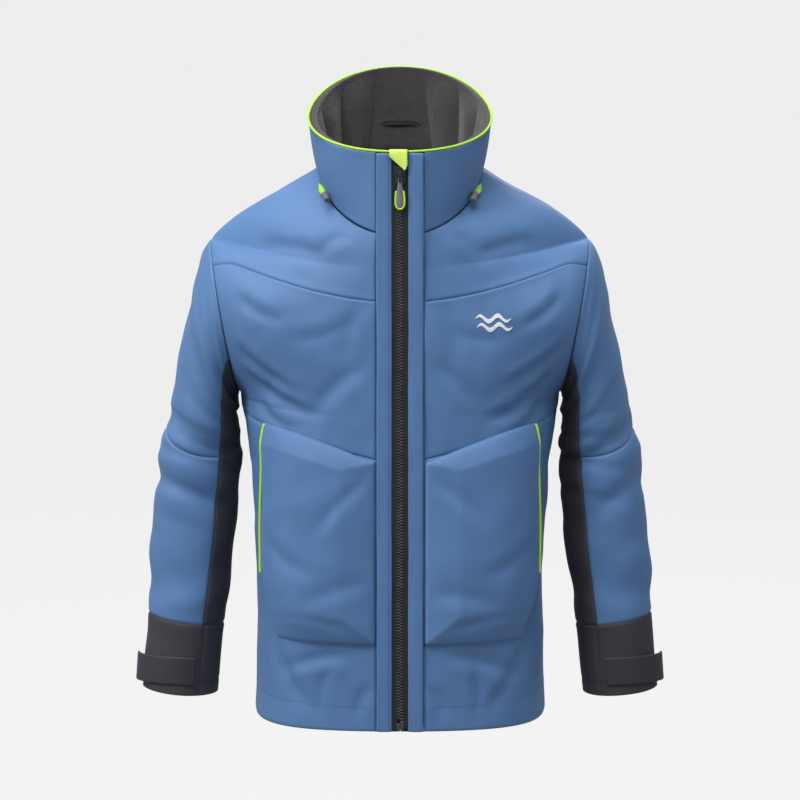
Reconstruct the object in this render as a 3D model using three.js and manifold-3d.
// Foul weather jacket: shell, fleece-lined stand collar, separating front zip,
// patch hand pockets, articulated sleeves with cuff tabs.
// Millimetres, +Z up, front towards -Y, wearer's left towards +X.
import * as THREE from 'three';
import { mergeVertices } from 'three/addons/utils/BufferGeometryUtils.js';
import Module from 'manifold-3d';

const wasm = await Module();
wasm.setup();

// ---- driving dimensions ------------------------------------------------------
const HEM_HALF_WIDTH = 195;
const WAIST_HALF_WIDTH = 190;
const HEM_DEPTH_BACK = 135;      // centre back to the middle plane at the hem
const ZIP_LENGTH = 743;          // hem to front rim
const ZIP_FOOT_Y = -148;
const ZIP_LEAN = 26;             // how far the zip's head stands behind its foot
const ARMHOLE_R = 103;
const ARMHOLE_X = 230.7;         // centre of the armhole circle
const ARMHOLE_Y = 20;
const ARMHOLE_Z = 525;
const ARMHOLE_TILT = 0.1841;     // slope dx/dz of the armhole plane
const NECK_HALF_WIDTH = 106;
const NECK_FRONT_Z = 639;
const NECK_SIDE_Z = 718;
const SHOULDER_RISE = 8;           // padding above a straight line from neck to armhole
const NECK_BACK_Z = 745;
const NECK_BACK_Y = 82;
const COLLAR_FLARE = 14;         // how much wider the rim is than the neck seam, each side
const COLLAR_BACK_HEIGHT = 105;
const COLLAR_THICKNESS = 12;
const SHELL = 2.2;               // panel thickness
const LINING = 1.2;
const SEAM_GAP = 0.5;            // clearance between neighbouring panels
const LAYER_GAP = 3.2;           // clearance between shell and lining
const FRONT_CUT_Y = -88;         // plane where the opening fronts begin
const TOOTH_GAP = 0.8;           // each tooth row's distance from the middle
const TOOTH_WIDTH = 3.5;
const TAPE_WIDTH = 5.5;
const PLACKET_WIDTH = 19.3;
const PLACKET_THICKNESS = 4;
const POCKET_PUFF = 15;
const ELBOW_HALF_WIDTH = 53.5;
const ELBOW_HALF_DEPTH = 57;
const CUFF_HALF_WIDTH = 49.5;
const CUFF_HALF_DEPTH = 47;
const CUFF_LENGTH = 96;
const UPPER_SLEEVE = 179;        // armhole centre to elbow, down the sleeve
const FOREARM = 318;             // elbow to cuff edge
const SLEEVE_FLARE = 0.09;     // outward slope of the forearm
const SLEEVE_FORWARD = 28;       // how far the cuff stands in front of the elbow
const ELBOW_SLOPE = 1.05;        // slope of each side of the elbow's front notch
const TAB_WIDTH = 36;
const TAB_STAND = 9;
const LOOP_WIDTH = 58;
const LOOP_BAND = 8;
const WEB = 1.6;

// ---- small tools -------------------------------------------------------------
const v3 = (x, y, z) => new THREE.Vector3(x, y, z);
const lerp = (a, b, t) => a + (b - a) * t;
const clamp = (x, a, b) => Math.min(b, Math.max(a, x));
const smooth = (a, b, x) => { const t = clamp((x - a) / (b - a), 0, 1); return t * t * (3 - 2 * t); };

function keyed(keys, t) {                     // Catmull-Rom through evenly spaced keys
  const n = keys.length - 1, x = clamp(t, 0, n), i = Math.min(n - 1, Math.floor(x)), f = x - i;
  const p0 = keys[Math.max(0, i - 1)], p1 = keys[i], p2 = keys[i + 1], p3 = keys[Math.min(n, i + 2)];
  return 0.5 * (2 * p1 + (p2 - p0) * f + (2 * p0 - 5 * p1 + 4 * p2 - p3) * f * f + (3 * p1 - p0 - 3 * p2 + p3) * f * f * f);
}
const linear = (keys, t) => { const n = keys.length - 1, x = clamp(t, 0, n), i = Math.min(n - 1, Math.floor(x)); return lerp(keys[i], keys[i + 1], x - i); };

function solve(f, lo, hi) {                   // root of a rising or falling function
  let flo = f(lo);
  if (flo * f(hi) > 0) return Math.abs(flo) < Math.abs(f(hi)) ? lo : hi;
  for (let k = 0; k < 40; k++) { const m = (lo + hi) / 2, fm = f(m); if (fm * flo > 0) { lo = m; flo = fm; } else hi = m; }
  return (lo + hi) / 2;
}

function signedVolume(g) {
  const p = g.attributes.position, ix = g.index.array; let s = 0;
  const a = v3(), b = v3(), c = v3();
  for (let i = 0; i < ix.length; i += 3) {
    a.fromBufferAttribute(p, ix[i]); b.fromBufferAttribute(p, ix[i + 1]); c.fromBufferAttribute(p, ix[i + 2]);
    s += a.dot(b.cross(c));
  }
  return s;
}
function finish(g) {
  g.deleteAttribute('normal'); g.deleteAttribute('uv');
  const m = mergeVertices(g, 1e-4);
  if (signedVolume(m) < 0) { const ix = m.index.array; for (let i = 0; i < ix.length; i += 3) [ix[i + 1], ix[i + 2]] = [ix[i + 2], ix[i + 1]]; }
  m.computeVertexNormals();
  return m;
}
function panelNormal(S, u, v) {
  const e = 1e-3, pu = S(u + e, v).sub(S(u - e, v)), pv = S(u, v + e).sub(S(u, v - e));
  return pu.cross(pv).normalize();
}
// A closed sheet: (a, b) in 0..1 mapped by `at` to surface coordinates, thick between two offsets along the outward normal.
function sheet(S, at, nu, nv, inner, outer) {
  const g = new THREE.BoxGeometry(1, 1, 1, nu, nv, 1), p = g.attributes.position;
  for (let i = 0; i < p.count; i++) {
    const a = p.getX(i) + 0.5, b = p.getY(i) + 0.5, w = p.getZ(i) + 0.5;
    const [u, v] = at(a, b), q = S(u, v), n = panelNormal(S, u, v);
    const off = lerp(typeof inner === 'function' ? inner(a, b) : inner, typeof outer === 'function' ? outer(a, b) : outer, w);
    q.addScaledVector(n, off);
    p.setXYZ(i, q.x, q.y, q.z);
  }
  return finish(g);
}
// A closed tube wall from a torus: u goes round, the torus's own section becomes the wall.
function tubeWall(at, nu, nv, thickness) {
  const rows = 2 * nv + 2, g = new THREE.TorusGeometry(10, 3, rows, nu), p = g.attributes.position;
  const per = nu + 1;
  for (let j = 0; j <= rows; j++) for (let i = 0; i <= nu; i++) {
    const k = j % rows, u = (i % nu) / nu;
    const outer = k <= nv, s = outer ? k / nv : 1 - (k - nv - 1) / nv;
    const q = at(u, s, outer ? 0 : thickness);
    p.setXYZ(j * per + i, q.x, q.y, q.z);
  }
  return finish(g);
}

// ---- body surface ------------------------------------------------------------
const zipY = (z) => ZIP_FOOT_Y + ZIP_LEAN * z / ZIP_LENGTH;
const tiltLen = Math.hypot(1, ARMHOLE_TILT);
const E_DIR = v3(ARMHOLE_TILT / tiltLen, 0, 1 / tiltLen);       // up the armhole plane
const N_DIR = v3(1 / tiltLen, 0, -ARMHOLE_TILT / tiltLen);      // out of it
const ARM_C = v3(ARMHOLE_X, ARMHOLE_Y, ARMHOLE_Z);
const armPoint = (r, psi, side, h = 0) => ARM_C.clone()
  .addScaledVector(E_DIR, -r * Math.cos(psi)).addScaledVector(N_DIR, h).add(v3(0, side * r * Math.sin(psi), 0));
const ARM_LOW = armPoint(ARMHOLE_R, 0, 1), ARM_TOP = armPoint(ARMHOLE_R, Math.PI, 1);

const LOW = [0, 0.213, 0.425, 0.626, 0.807, 1];                 // heights below the armhole, as shares of it
const SIDE_X = [HEM_HALF_WIDTH, (HEM_HALF_WIDTH + WAIST_HALF_WIDTH) / 2, WAIST_HALF_WIDTH, WAIST_HALF_WIDTH + 2.5, lerp(WAIST_HALF_WIDTH, ARM_LOW.x, 0.42), ARM_LOW.x];
const SIDE_Y = [8, 8, 8, 9, 12, ARMHOLE_Y];
const armSpan = ARM_TOP.z - ARM_LOW.z, neckRise = NECK_FRONT_Z - (ARM_LOW.z + 0.86 * armSpan);
const FRONT_Z = [...LOW.map((s) => s * (ARM_LOW.z - 18)), ARM_LOW.z + 0.08 * armSpan, ARM_LOW.z + 0.28 * armSpan, ARM_LOW.z + 0.49 * armSpan,
  ARM_LOW.z + 0.68 * armSpan, ARM_LOW.z + 0.86 * armSpan, ARM_LOW.z + 0.86 * armSpan + 0.42 * neckRise, ARM_LOW.z + 0.86 * armSpan + 0.74 * neckRise, NECK_FRONT_Z];
const BACK_Z = [...LOW.map((s) => s * (ARM_LOW.z - 6)), ARM_LOW.z + 0.14 * armSpan, ARM_LOW.z + 0.38 * armSpan, ARM_LOW.z + 0.65 * armSpan,
  lerp(ARM_TOP.z, NECK_BACK_Z, -0.1), lerp(ARM_TOP.z, NECK_BACK_Z, 0.26), lerp(ARM_TOP.z, NECK_BACK_Z, 0.55), lerp(ARM_TOP.z, NECK_BACK_Z, 0.8), NECK_BACK_Z];
const BACK_Y = [0, -2, -4, -1, 6, 13, 16, 19, 19, 14, 4, 0, 0, 0].map((d, i) => (i < 11 ? HEM_DEPTH_BACK + d : [0, 0, 0, 0, 0, 0, 0, 0, 0, 0, 0, lerp(HEM_DEPTH_BACK, NECK_BACK_Y, 0.22), lerp(HEM_DEPTH_BACK, NECK_BACK_Y, 0.62), NECK_BACK_Y][i]));
const FRONT_A = [0.77, 0.77, 0.78, 0.78, 0.74, 0.69, 0.62, 0.57, 0.53, 0.49, 0.46, 0.49, 0.54, 0.585];
const FRONT_B = [118, 118, 116, 112, 104, 92, 62, 50, 48, 52, 60, 62, 58, 58];
const FRONT_TX = [0, 0, 0, 0, 0.02, 0, 0.5, 0.85, 0.9, 0.8, 0.35, 0, 0, 0.02];
const FRONT_TZ = [0, 0, 0, 0, 0, 0, -0.05, -0.1, -0.1, -0.1, 0, 0.06, 0.2, 0.75];
const BACK_A = [0.72, 0.72, 0.72, 0.72, 0.7, 0.66, 0.6, 0.56, 0.52, 0.5, 0.5, 0.5, 0.54, 0.62];
const BACK_B = [96, 96, 96, 96, 92, 84, 66, 62, 62, 66, 74, 84, 74, 48];
const BACK_TX = [0, 0, 0, 0, 0.02, 0, 0.5, 0.8, 0.85, 0.75, 0.35, 0, 0, 0.03];
const BACK_TZ = [0, 0, 0, 0, 0, 0, -0.05, -0.1, -0.1, -0.1, 0, -0.06, -0.2, -0.35];

function edgePoint(v, side) {                 // where front and back surfaces end: side seam, armhole, shoulder line
  if (v <= 5) return v3(keyed(SIDE_X, v), keyed(SIDE_Y, v), linear(LOW, v) * ARM_LOW.z);
  if (v < 10) return armPoint(ARMHOLE_R, (v - 5) / 5 * Math.PI, side);
  const t = (v - 10) / 3, neck = v3(NECK_HALF_WIDTH, -10, NECK_SIDE_Z), p = ARM_TOP.clone().lerp(neck, t);
  p.z += SHOULDER_RISE * Math.sin(Math.PI * t); return p;
}
function bez(p0, p1, p2, p3, t) {
  const s = 1 - t;
  return p0.clone().multiplyScalar(s * s * s).addScaledVector(p1, 3 * s * s * t).addScaledVector(p2, 3 * s * t * t).addScaledVector(p3, t * t * t);
}
function body(q, v) {                         // q 0..1 front from the middle to the edge, 1..2 back from the edge to the middle
  const back = q > 1, side = back ? 1 : -1, e = edgePoint(v, side);
  const cz = keyed(back ? BACK_Z : FRONT_Z, v), c = v3(0, back ? keyed(BACK_Y, v) : zipY(cz), cz);
  const a = keyed(back ? BACK_A : FRONT_A, v) * e.x;
  const t = v3(keyed(back ? BACK_TX : FRONT_TX, v), 1, keyed(back ? BACK_TZ : FRONT_TZ, v)); t.y *= -side * 1; t.normalize();
  const b = keyed(back ? BACK_B : FRONT_B, v);
  const dir = back ? v3(t.x, -1 * Math.abs(t.y), t.z) : v3(t.x, Math.abs(t.y), t.z);
  return bez(c, v3(a, c.y, c.z), e.clone().addScaledVector(dir, -b), e, back ? 2 - q : q);
}
const flip = (S) => (u, v) => { const p = S(u, v); p.x = -p.x; return p; };
const sided = (S, left) => (left ? S : flip(S));
const outward = (left) => (left ? 1 : -1);    // keeps offsets pointing out after the mirror

const cutQ = (v, y = FRONT_CUT_Y) => solve((q) => body(q, v).y - y, 0, 1);
const xQ = (v, x) => solve((q) => body(q, v).x - x, 0, 1);
const INNER_X = TOOTH_GAP + TOOTH_WIDTH + 0.3 + TAPE_WIDTH + 0.4;      // inner edge of the placket
const SEAM_X = INNER_X + PLACKET_WIDTH + SEAM_GAP;                     // where the front panels begin

const pocketSeam = (a) => 4.3 + 0.45 * (1 - (1 - a) ** 2);
const yokeSeam = (a) => 8.8 + 0.1 * a;
const POCKET_BOTTOM = 1.3;
const sideEdge = (v) => (v < 5 ? lerp(0.63, 0.975, smooth(3.2, 5, v)) : v < 10 ? 0.98 : 0.992);   // back panel's outer edge

// ---- collar ------------------------------------------------------------------
const RIM_SIDE = v3(NECK_HALF_WIDTH + COLLAR_FLARE, -12, NECK_SIDE_Z + 68);
function rim(q) {
  const back = q > 1, c = back ? v3(0, NECK_BACK_Y + 13, NECK_BACK_Z + COLLAR_BACK_HEIGHT) : v3(0, zipY(ZIP_LENGTH), ZIP_LENGTH);
  const dir = back ? v3(0.01, -0.9, -0.42).normalize() : v3(0.01, 0.9, 0.42).normalize();
  return bez(c, v3(0.64 * RIM_SIDE.x, c.y, c.z), RIM_SIDE.clone().addScaledVector(dir, back ? -62 : -60), RIM_SIDE, back ? 2 - q : q);
}
function collar(q, h) {
  const p = body(clamp(q, 0, 2), 13).lerp(rim(clamp(q, 0, 2)), h);
  const puff = 7 * Math.sin(Math.PI * clamp(h, 0, 1)) * smooth(0.25, 0.6, Math.min(q, 2));
  const out = v3(p.x, p.y + 15, 0).normalize();
  return p.addScaledVector(out, puff);
}
const cutCollar = (h) => solve((q) => collar(q, h).y - FRONT_CUT_Y, 0, 1);
const xCollar = (h, x) => solve((q) => collar(q, h).x - x, 0, 1);

// ---- sleeve ------------------------------------------------------------------
const ELBOW_Z = ARMHOLE_Z - UPPER_SLEEVE, FORE_DIR = v3(SLEEVE_FLARE, 0, -1).normalize(), FORE_ACROSS = v3(1, 0, SLEEVE_FLARE).normalize();
const planeX = (z) => ARMHOLE_X + ARMHOLE_TILT * (z - ARMHOLE_Z);
const ELBOW_C = v3(planeX(ELBOW_Z) + 14 + ELBOW_HALF_WIDTH, 8, ELBOW_Z);
const R_IN = [1, 1.04, 1.09, 1.155, 1.24, 1.35, 1.49], H_IN = [1, 4.2, 6.2, 7.6, 8.6, 9.6, 11];
const elbowO = ELBOW_C.clone().addScaledVector(FORE_ACROSS, ELBOW_HALF_WIDTH);
const TOP_R = [1, 0.84, 0.57, 0.27, -0.14, -0.57, -1.02], TOP_H = [1, 15, 29.5, 42.5, 60, 76.5, 93];
function sleeveFrame(s) {                     // s 0..6 fan from the armhole, 6..12 straight to the cuff edge
  let o, i, b, y;
  if (s <= 7) {
    const k = Math.min(s, 6);
    o = ARM_C.clone().addScaledVector(E_DIR, ARMHOLE_R * keyed(TOP_R, k)).addScaledVector(N_DIR, keyed(TOP_H, k));
    i = ARM_C.clone().addScaledVector(E_DIR, -ARMHOLE_R * keyed(R_IN, k)).addScaledVector(N_DIR, keyed(H_IN, k));
    if (s > 6) { const t = s - 6; o.lerp(elbowO, t); i.lerp(ELBOW_C.clone().addScaledVector(FORE_ACROSS, -ELBOW_HALF_WIDTH), t); }
    b = lerp(ARMHOLE_R, ELBOW_HALF_DEPTH, [0, 0.07, 0.18, 0.33, 0.5, 0.66, 0.82, 1].reduce((acc, x, n, arr) => (n <= Math.floor(s) ? lerp(arr[n], arr[Math.min(7, n + 1)], s - n > 1 ? 1 : s - n) : acc), 0));
    y = lerp(ARMHOLE_Y, ELBOW_C.y, smooth(0, 7, s));
  } else {
    const t = (s - 7) / 6, c = ELBOW_C.clone().addScaledVector(FORE_DIR, FOREARM * t);
    const w = lerp(ELBOW_HALF_WIDTH, CUFF_HALF_WIDTH, t) + 3.5 * Math.sin(Math.PI * Math.min(1, t * 1.3)) ** 2;
    o = c.clone().addScaledVector(FORE_ACROSS, w); i = c.clone().addScaledVector(FORE_ACROSS, -w);
    b = lerp(ELBOW_HALF_DEPTH, CUFF_HALF_DEPTH, t); y = ELBOW_C.y - SLEEVE_FORWARD * t * (0.55 + 0.45 * t);
  }
  return { c: o.clone().add(i).multiplyScalar(0.5).setY(y), e: o.clone().sub(i).multiplyScalar(0.5), b };
}
function sleeve(phi, s) {                     // phi 0 outer side, +90 front, 180 inner, 270 back
  const f = sleeveFrame(clamp(s, 0, 13)), a = phi * Math.PI / 180;
  return f.c.clone().addScaledVector(f.e, Math.cos(a)).add(v3(0, -f.b * Math.sin(a), 0));
}
const ELBOW_PIVOT = v3(ELBOW_C.x, ELBOW_C.y + 10, ELBOW_C.z);
const elbowDepth = (p) => Math.max(0, ELBOW_PIVOT.y - p.y);
const along = (p) => p.clone().sub(ELBOW_PIVOT).setY(0).dot(FORE_DIR);
const upperEnd = (phi, gap = 0.5) => solve((s) => { const p = sleeve(phi, s); return along(p) + ELBOW_SLOPE * elbowDepth(p) + gap; }, 2, 9);
const foreStart = (phi, gap = 0.5) => solve((s) => { const p = sleeve(phi, s); return along(p) - ELBOW_SLOPE * elbowDepth(p) - gap; }, 5, 12);
const CUFF_S = 7 + 6 * (1 - CUFF_LENGTH / FOREARM);

// ---- materials ---------------------------------------------------------------
const std = (color, roughness, metalness = 0) => new THREE.MeshStandardMaterial({ color, roughness, metalness });
const BLUE = std('#5b82b4', 0.72), BLUE_DEEP = std('#4a72a8', 0.72), GRAPHITE = std('#3a393e', 0.8), FLEECE = std('#463f46', 0.97), LIME = std('#a9e83c', 0.6);
const TAPE = std('#2a292c', 0.85), TEETH = std('#1c1c1f', 0.45), LINEN = std('#34353c', 0.9), GREY = std('#7d8087', 0.5), WEBBING = std('#232327', 0.85);

const jacket = new THREE.Group();
const model = new THREE.Group();
jacket.add(model);
function add(name, geo, mat, parent = model) { const m = new THREE.Mesh(geo, mat); m.name = name; parent.add(m); return m; }
const gapV = 0.012;

// zip frame: x across, y out of the zip plane, z up the zip
const zipGroup = new THREE.Group();
zipGroup.position.set(0, ZIP_FOOT_Y, 0);
zipGroup.rotation.x = -Math.asin(ZIP_LEAN / Math.hypot(ZIP_LEAN, ZIP_LENGTH));
model.add(zipGroup);
const ZLEN = Math.hypot(ZIP_LEAN, ZIP_LENGTH);
function block(name, x0, x1, y0, y1, z0, z1, mat, parent = zipGroup) {
  const g = new THREE.BoxGeometry(x1 - x0, y1 - y0, z1 - z0);
  g.translate((x0 + x1) / 2, (y0 + y1) / 2, (z0 + z1) / 2);
  return add(name, finish(g), mat, parent);
}

const uMid = (v) => xQ(v, SEAM_X);
for (const left of [true, false]) {
  const L = left ? 'left' : 'right', m = outward(left), B = sided(body, left), C = sided(collar, left), S = sided(sleeve, left);
  const off = (k) => m * k;
  const span = (v, a, q1 = cutQ(v, FRONT_CUT_Y - 0.7)) => lerp(uMid(v), q1, a);

  // front shell
  add(`front_yoke_${L}`, sheet(B, (a, b) => { const v = lerp(yokeSeam(a) + gapV, 13 - gapV * 3, b); return [span(v, a), v]; }, 7, 6, off(-SHELL), 0), BLUE);
  add(`chest_panel_${L}`, sheet(B, (a, b) => { const v = lerp(pocketSeam(a) + gapV, yokeSeam(a) - gapV, b); return [span(v, a), v]; }, 7, 6, off(-SHELL), 0), BLUE);
  add(`lower_front_${L}`, sheet(B, (a, b) => { const v = lerp(0, pocketSeam(a) - gapV, b); return [span(v, a), v]; }, 7, 7, off(-SHELL), 0), BLUE);
  // puffy patch pocket: held along three sides, open at the outer side
  const puff = (a, b) => POCKET_PUFF * Math.pow(clamp(Math.min(a / 0.22, b / 0.13, (1 - b) / 0.1), 0, 1), 0.6) * lerp(1, 0.62, smooth(0.55, 1, a));
  const pocketAt = (a, b) => {
    const v = lerp(POCKET_BOTTOM, pocketSeam(a) - 0.03, b), q1 = cutQ(v, FRONT_CUT_Y - 1.2);
    const corner = 0.1 * smooth(0.28, 0, b);
    return [lerp(xQ(v, SEAM_X + 0.6), q1 - corner, a), v];
  };
  add(`pocket_panel_${L}`, sheet(B, pocketAt, 9, 9, (a, b) => off(0.4 + puff(a, b)), (a, b) => off(0.4 + SHELL + puff(a, b))), BLUE_DEEP);
  add(`pocket_piping_${L}`, sheet(B, (a, b) => pocketAt(lerp(0.975, 1, a), lerp(0.24, 0.985, b)), 1, 9, (a, b) => off(0.4 + SHELL + 0.45 + puff(lerp(0.975, 1, a), lerp(0.24, 0.985, b))), (a, b) => off(0.4 + SHELL + 3 + puff(lerp(0.975, 1, a), lerp(0.24, 0.985, b)))), LIME);
  add(`front_lining_${L}`, sheet(B, (a, b) => { const v = lerp(0.12, 12.8, b), q0 = xQ(v, INNER_X + 3); return [lerp(q0, cutQ(v, FRONT_CUT_Y - 9), a), v]; }, 9, 10, off(-SHELL - LAYER_GAP - LINING), off(-SHELL - LAYER_GAP)), LINEN);

  // placket, tape, teeth
  const sx = (x0, x1) => (left ? [x0, x1] : [-x1, -x0]);
  block(`placket_${L}`, ...sx(INNER_X, INNER_X + PLACKET_WIDTH), -PLACKET_THICKNESS * 0.62, PLACKET_THICKNESS * 0.38, 0.6, ZLEN, BLUE);
  block(`zip_tape_${L}`, ...sx(TOOTH_GAP + TOOTH_WIDTH + 0.3, TOOTH_GAP + TOOTH_WIDTH + 0.3 + TAPE_WIDTH), -0.8, 0.2, 0.6, ZLEN - 1, TAPE);
  block(`zip_teeth_${L}`, ...sx(TOOTH_GAP, TOOTH_GAP + TOOTH_WIDTH), -1.6, 1, left ? 15 : 0.8, ZLEN - 15, TEETH);

  // collar
  add(`collar_front_${L}`, sheet(C, (a, b) => { const h = lerp(0.006, 0.997, b); return [lerp(xCollar(h, SEAM_X), cutCollar(h), a) - 0.003 * a, h]; }, 6, 4, off(-SHELL), 0), BLUE);
  add(`collar_lining_front_${L}`, sheet(C, (a, b) => { const h = lerp(0.02, 0.999, b); return [lerp(xCollar(h, INNER_X + 3), cutCollar(h) - 0.06, a), h]; }, 6, 4, off(-COLLAR_THICKNESS), off(-COLLAR_THICKNESS + 5)), FLEECE);
  add(`collar_piping_front_${L}`, sheet(C, (a, b) => { const h = lerp(1.006, 1.036, b); return [lerp(xCollar(1, INNER_X + 0.5), cutCollar(1) - 0.05, a), h]; }, 6, 1, off(-COLLAR_THICKNESS + 0.4), off(-0.2)), LIME);

  // flank and shoulder
  add(`side_panel_${L}`, sheet(B, (a, b) => {
    const v = lerp(0, 5 - gapV * 3, b), q0 = cutQ(v, FRONT_CUT_Y + 1.4), q1 = 2 - sideEdge(v) - 0.008;
    return [lerp(q0, q1, a), v];
  }, 10, 9, off(-SHELL), 0), GRAPHITE);
  add(`shoulder_${L}`, sheet(B, (a, b) => {
    const v = lerp(5 + gapV * 3, 13 - gapV * 3, b), q0 = cutQ(v, FRONT_CUT_Y + 1.4);
    return [lerp(q0, v < 10 ? 0.98 : 0.992, a), v];
  }, 6, 16, off(-SHELL), 0), BLUE);

  // sleeve
  const upper = (p0, p1) => (a, b) => { const phi = lerp(p0, p1, a); return [phi, lerp(0.0, upperEnd(phi), b)]; };
  const lower = (p0, p1) => (a, b) => { const phi = lerp(p0, p1, a); return [phi, lerp(foreStart(phi), CUFF_S - 0.006, b)]; };
  const out = m;
  add(`sleeve_outer_${L}`, sheet(S, upper(-119.6, 119.6), 16, 7, out * -SHELL, 0), BLUE);
  add(`sleeve_underarm_${L}`, sheet(S, upper(120.4, 239.6), 8, 7, out * -SHELL, 0), GRAPHITE);
  add(`elbow_gusset_${L}`, sheet(S, (a, b) => { const phi = lerp(16, 164, a); return [phi, lerp(upperEnd(phi, -1), foreStart(phi, -1), b)]; }, 10, 4, out * -(SHELL - 0.4), out * -0.3), BLUE);
  add(`forearm_outer_${L}`, sheet(S, lower(-119.6, 119.6), 16, 4, out * -SHELL, 0), BLUE);
  add(`forearm_under_${L}`, sheet(S, lower(120.4, 239.6), 8, 4, out * -SHELL, 0), GRAPHITE);
  add(`cuff_${L}`, tubeWall((u, s, d) => { const phi = u * 360, k = lerp(CUFF_S + 0.006, 13, s), n = panelNormal(S, phi, clamp(k, 0.01, 12.99)); return S(phi, k).addScaledVector(n, out * -d); }, 28, 2, SHELL + 0.8), GRAPHITE);
  const sTab0 = 13 - 6 * (14 + TAB_WIDTH) / FOREARM, sTab1 = 13 - 6 * 14 / FOREARM;
  add(`cuff_tab_${L}`, sheet(S, (a, b) => [lerp(112, -16, a), lerp(sTab0, sTab1, b)], 12, 1, (a) => out * (0.5 + TAB_STAND * smooth(0.45, 1, a)), (a) => out * (2.9 + TAB_STAND * smooth(0.45, 1, a))), GRAPHITE);

  // hood adjuster: lime tape sewn at the collar base with a cord end below
  const adj = new THREE.Group(), q0 = 0.84, neck = body(q0, 12.95), nn = panelNormal(body, q0, 12.6);
  const down = body(xQ(12.25, NECK_HALF_WIDTH - 8), 12.25).sub(neck).normalize();
  const z = nn.clone(), yv = down.clone().sub(z.clone().multiplyScalar(down.dot(z))).normalize(), xv = yv.clone().cross(z).normalize();
  adj.matrix.makeBasis(xv, yv, z).setPosition(neck.clone().addScaledVector(nn, 3.2));
  adj.matrix.decompose(adj.position, adj.quaternion, adj.scale);
  const tape = new THREE.BoxGeometry(7, 26, WEB, 1, 4, 1); tape.translate(0, 20, 0.9);
  const toggle = new THREE.CylinderGeometry(4, 4.4, 17, 12); toggle.translate(0, 42, 4.8);
  for (const [name, g, mat] of [[`adjuster_tape_${L}`, tape, LIME], [`adjuster_end_${L}`, toggle, GREY]]) {
    adj.updateMatrix(); g.applyMatrix4(adj.matrix); if (!left) g.scale(-1, 1, 1);
    add(name, finish(g), mat);
  }
}

// ---- back --------------------------------------------------------------------
const backS = (s, v) => { const p = body(2 - Math.abs(s), v); if (s < 0) p.x = -p.x; return p; };
const BACK_ROWS = 13, backRow = (b) => (b * BACK_ROWS <= 9 ? lerp(0, 5 - gapV * 3, b * BACK_ROWS / 9) : lerp(5 - gapV * 3, 8.4 - gapV, (b * BACK_ROWS - 9) / (BACK_ROWS - 9)));
add('back_panel', sheet(backS, (a, b) => { const v = backRow(b), k = sideEdge(v); return [lerp(-k, k, a), v]; }, 18, BACK_ROWS, SHELL, 0), BLUE);
add('back_yoke', sheet(backS, (a, b) => { const v = lerp(8.4 + gapV, 13 - gapV * 3, b); const k = sideEdge(v); return [lerp(-k, k, a), v]; }, 18, 6, SHELL, 0), BLUE);
const ring = (S) => (w, v) => {                // w -1..1 round the back from one front cut to the other
  const side = w < 0 ? -1 : 1, p = S(2 - Math.abs(w), v); p.x *= side; return p;
};
const LINING_ROWS = [0.12, 0.9, 1.7, 2.4, 3, 3.5, 3.9, 4.3, 4.7, 5.1, 6.8, 8.4, 9.17, 9.93, 10.69, 11.44, 12.2, 12.85];   // narrows gently below the armhole
add('back_lining', sheet(ring(body), (a, b) => {
  const v = linear(LINING_ROWS, b * (LINING_ROWS.length - 1)), k = lerp(2 - cutQ(Math.min(v, 5), FRONT_CUT_Y + 9), 0.95 - 0.04 * smooth(8, 11, v), smooth(3, 5, v));
  return [lerp(-k, k, a), v];
}, 30, LINING_ROWS.length - 1, SHELL + LAYER_GAP + LINING, SHELL + LAYER_GAP), LINEN);
const collarK = (h) => 2 - cutCollar(h);
add('collar_back', sheet(ring(collar), (a, b) => { const h = lerp(0.006, 0.997, b), k = collarK(h) - 0.003; return [lerp(-k, k, a), h]; }, 26, 4, SHELL, 0), BLUE);
add('collar_lining_back', sheet(ring(collar), (a, b) => { const h = lerp(0.02, 0.999, b), k = collarK(h) - 0.06; return [lerp(-k, k, a), h]; }, 26, 4, COLLAR_THICKNESS, COLLAR_THICKNESS - 5), FLEECE);
add('collar_piping_back', sheet(ring(collar), (a, b) => { const h = lerp(1.006, 1.036, b), k = collarK(1) - 0.05; return [lerp(-k, k, a), h]; }, 26, 1, COLLAR_THICKNESS - 0.4, 0.2), LIME);
add('stowed_hood', sheet(ring(collar), (a, b) => [lerp(-0.78, 0.78, a), lerp(0.3, 0.85, b)], 22, 3, 6.2, 3.4), BLUE_DEEP);

// ---- zip pieces that are not mirrored ------------------------------------------
block('storm_flap', -10, 22, 8.6, 10, 1.5, NECK_FRONT_Z - 16, LINEN);
block('zip_box', 0.6, 4.3, -2.4, 1.6, 0.8, 14.4, TEETH);
const GARAGE_Z = ZLEN - 1 - 19;
const garage = new THREE.Shape([[-7.4, GARAGE_Z], [-5.8, GARAGE_Z], [-5.8, ZLEN + 1.6], [3, ZLEN + 1.6], [3, ZLEN + 3.2], [-7.4, ZLEN + 3.2]].map(([a, b]) => new THREE.Vector2(a, b)));
// the shape was drawn in (y, z); the extrusion runs along x
{ const g = new THREE.ExtrudeGeometry(garage, { depth: 19.6, bevelEnabled: false }), p = g.attributes.position;
  for (let i = 0; i < p.count; i++) { const y = p.getX(i), z = p.getY(i), x = p.getZ(i) - 10.2; p.setXYZ(i, x, y, z); }
  add('zip_garage', finish(g), LIME, zipGroup); }

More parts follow.
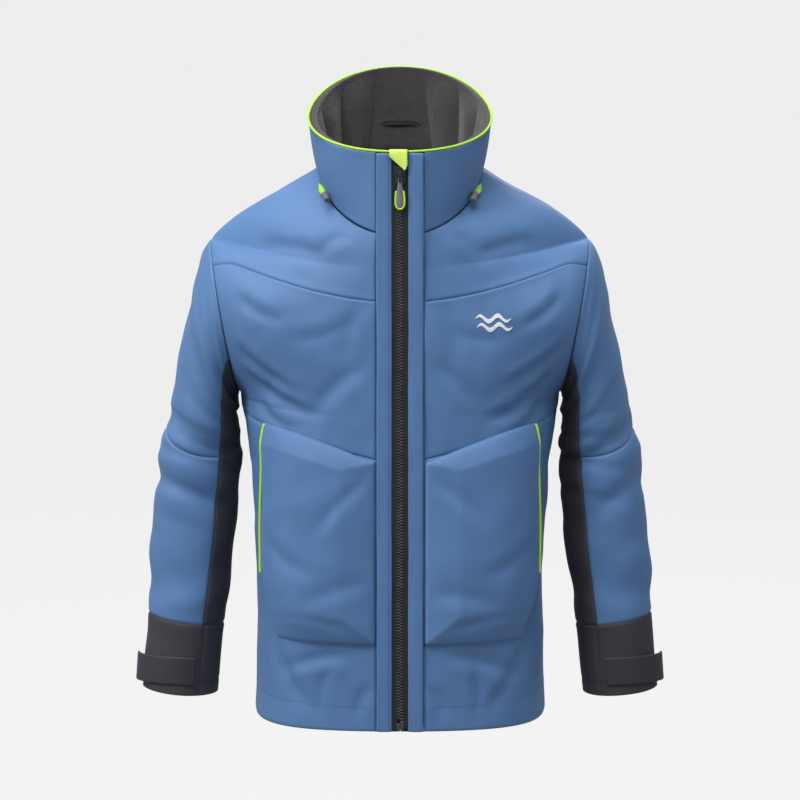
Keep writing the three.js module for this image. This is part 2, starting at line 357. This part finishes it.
// slider: front and back plates joined by a post between the tooth rows, with a bridge for the puller
const SLIDER_TOP = ZLEN - 17, SLIDER_LONG = 22, SLIDER_HALF = 7.2;
function solid(g) {
  const c = g.index ? g.clone() : g.clone();
  if (c.attributes.normal) c.deleteAttribute('normal');
  if (c.attributes.uv) c.deleteAttribute('uv');
  const w = mergeVertices(c, 1e-4);
  return new wasm.Manifold(new wasm.Mesh({ numProp: 3, vertProperties: new Float32Array(w.attributes.position.array), triVerts: new Uint32Array(w.index.array) }));
}
function unsolid(s) {
  const q = s.getMesh(), g = new THREE.BufferGeometry();
  g.setAttribute('position', new THREE.BufferAttribute(new Float32Array(q.vertProperties), 3));
  g.setIndex(new THREE.BufferAttribute(new Uint32Array(q.triVerts), 1));
  g.computeVertexNormals();
  return g;
}
const brick = (x0, x1, y0, y1, z0, z1) => { const g = new THREE.BoxGeometry(x1 - x0, y1 - y0, z1 - z0); g.translate((x0 + x1) / 2, (y0 + y1) / 2, (z0 + z1) / 2); return solid(g); };
const POST = TOOTH_GAP - 0.3, T = SLIDER_TOP;
const slider = brick(-SLIDER_HALF, SLIDER_HALF, -5, -2.2, T - SLIDER_LONG, T)
  .add(brick(-SLIDER_HALF, SLIDER_HALF, 1.6, 3.6, T - SLIDER_LONG, T))
  .add(brick(-POST, POST, -3, 2.4, T - 9, T - 1))
  .add(brick(-1.8, 1.8, -9.2, -4.8, T - 9, T - 7))
  .add(brick(-1.8, 1.8, -9.2, -4.8, T - 20, T - 18))
  .add(brick(-1.8, 1.8, -9.2, -8, T - 20, T - 7));
add('slider_body', unsolid(slider), TEETH, zipGroup);
const PULL_Z = T - 15.6;
const puller = brick(-4.4, 4.4, -7.4, -5.8, PULL_Z - 0.8, PULL_Z + 0.8)
  .add(brick(-4.4, -2.4, -7.4, -5.8, PULL_Z - 8, PULL_Z + 0.4))
  .add(brick(2.4, 4.4, -7.4, -5.8, PULL_Z - 8, PULL_Z + 0.4))
  .add(brick(-4.4, 4.4, -7.6, -5.6, PULL_Z - 32, PULL_Z - 7))
  .subtract(brick(-2, 2, -9, -4, PULL_Z - 29, PULL_Z - 26));
add('pull_tab', unsolid(puller), GREY, zipGroup);
const loop = brick(-6.8, 6.8, -9.6, -8, PULL_Z - 44, PULL_Z - 12).subtract(brick(-4.8, 4.8, -11, -6, PULL_Z - 42, PULL_Z - 30)).subtract(brick(-4.8, 4.8, -11, -6, PULL_Z - 24, PULL_Z - 14))
  .add(brick(-1.6, 1.6, -8.2, -5, PULL_Z - 28.6, PULL_Z - 26.4)).add(brick(-1.6, 1.6, -5.25, -4.7, PULL_Z - 28.6, PULL_Z - 23));
add('pull_loop', unsolid(loop), LIME, zipGroup);

// ---- hang loop ---------------------------------------------------------------
const loopBase = collar(2, 0.1), LOOP_Y = loopBase.y - COLLAR_THICKNESS - 4, LOOP_Z = loopBase.z + 4;
const arch = new THREE.Shape();
arch.moveTo(-LOOP_WIDTH / 2, 0); arch.lineTo(-LOOP_WIDTH / 2, 14); arch.lineTo(-LOOP_WIDTH / 2 + 8, 14 + LOOP_BAND); arch.lineTo(LOOP_WIDTH / 2 - 8, 14 + LOOP_BAND); arch.lineTo(LOOP_WIDTH / 2, 14); arch.lineTo(LOOP_WIDTH / 2, 0);
arch.lineTo(LOOP_WIDTH / 2 - LOOP_BAND, 0); arch.lineTo(LOOP_WIDTH / 2 - LOOP_BAND, 12); arch.lineTo(LOOP_WIDTH / 2 - LOOP_BAND - 3, 14); arch.lineTo(-LOOP_WIDTH / 2 + LOOP_BAND + 3, 14); arch.lineTo(-LOOP_WIDTH / 2 + LOOP_BAND, 12); arch.lineTo(-LOOP_WIDTH / 2 + LOOP_BAND, 0); arch.closePath();
const archGeo = new THREE.ExtrudeGeometry(arch, { depth: WEB, bevelEnabled: false });
archGeo.rotateX(Math.PI / 2);                  // shape's y becomes z, extrusion runs towards -y
archGeo.translate(0, LOOP_Y, LOOP_Z);
add('hang_loop', finish(archGeo), WEBBING);
const HOOK = v3(0, LOOP_Y - WEB / 2, LOOP_Z + 14);   // where a hook bears on the loop
model.position.set(-HOOK.x, -HOOK.y, -HOOK.z);

export default jacket;
